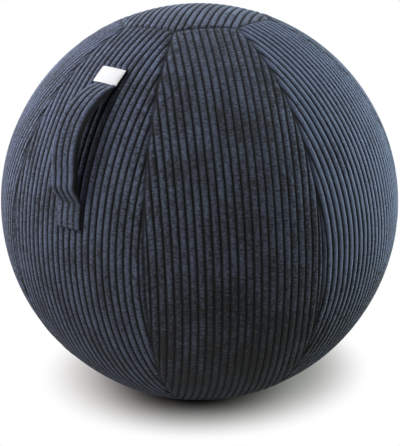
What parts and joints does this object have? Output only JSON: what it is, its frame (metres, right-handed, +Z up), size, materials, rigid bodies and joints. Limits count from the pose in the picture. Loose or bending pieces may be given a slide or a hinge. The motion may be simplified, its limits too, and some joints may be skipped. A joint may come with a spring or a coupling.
{
  "type": "sitting ball",
  "caption": "Round sitting ball: an inflated ball in a wide-wale corduroy cover of side panels and a top cap, with a carry handle, a bare label, a zipped base and a stand ring.",
  "frame": {"origin": "middle of the flat base, on the floor", "axes": "+Z up, -Y towards the carry handle, +X to the right as seen from the handle's side"},
  "size_m": [0.65, 0.65, 0.6342],
  "materials": {
    "corduroy": "wide-wale corduroy, dark slate blue, soft cut pile",
    "base_cloth": "plain woven non-slip cloth, near black",
    "zip_tape": "herringbone woven tape, dark",
    "zip_coil": "nylon coil, satin",
    "zip_metal": "gunmetal enamel",
    "stand_ring": "solid rubber cord",
    "bladder": "soft vinyl, satin",
    "plug": "soft moulded plug",
    "webbing": "woven webbing",
    "label": "white woven label, bare",
    "thread": "twisted sewing thread"
  },
  "bodies": {
    "cover": {"side_panel_1": "corduroy", "side_panel_2": "corduroy", "side_panel_3": "corduroy", "side_panel_4": "corduroy", "side_panel_5": "corduroy", "side_panel_6": "corduroy", "side_panel_7": "corduroy", "side_panel_8": "corduroy", "top_cap": "corduroy", "handle_end_upper": "corduroy", "handle_end_lower": "corduroy", "base_panel": "base_cloth", "ring_sleeve": "base_cloth", "zip_tape_upper": "zip_tape", "zip_tape_lower": "zip_tape", "zip_teeth_upper": "zip_coil", "zip_teeth_lower": "zip_coil", "zip_stops": "zip_metal", "stand_ring": "stand_ring", "inner_ball": "bladder", "valve_plug": "plug", "label": "label", "handle_stitches": "thread", "label_stitches": "thread"},
    "handle": {"handle_strap": "corduroy", "handle_core": "webbing"},
    "slider": {"zip_slider": "zip_metal"},
    "pull": {"zip_pull": "zip_metal"}
  },
  "joints": [
    {"name": "handle_swing", "type": "hinge", "parent": "cover", "child": "handle", "pos_m": [0, -0.26596, 0.47802], "axis": [0, 0.5358, 0.8443], "range_deg": [-20, 20], "stiffness_Nm_per_rad": 0.3, "deforming": ["handle_end_upper", "handle_end_lower"]},
    {"name": "zip_slide", "type": "hinge", "parent": "cover", "child": "slider", "pos_m": [0, 0, 0], "axis": [0, 0, 1], "range_deg": [-330, 0]},
    {"name": "pull_swing", "type": "hinge", "parent": "slider", "child": "pull", "pos_m": [0.03917, 0.15375, 0.02285], "axis": [0.2159, 0.8477, 0.4846], "range_deg": [-80, 80]}
  ]
}
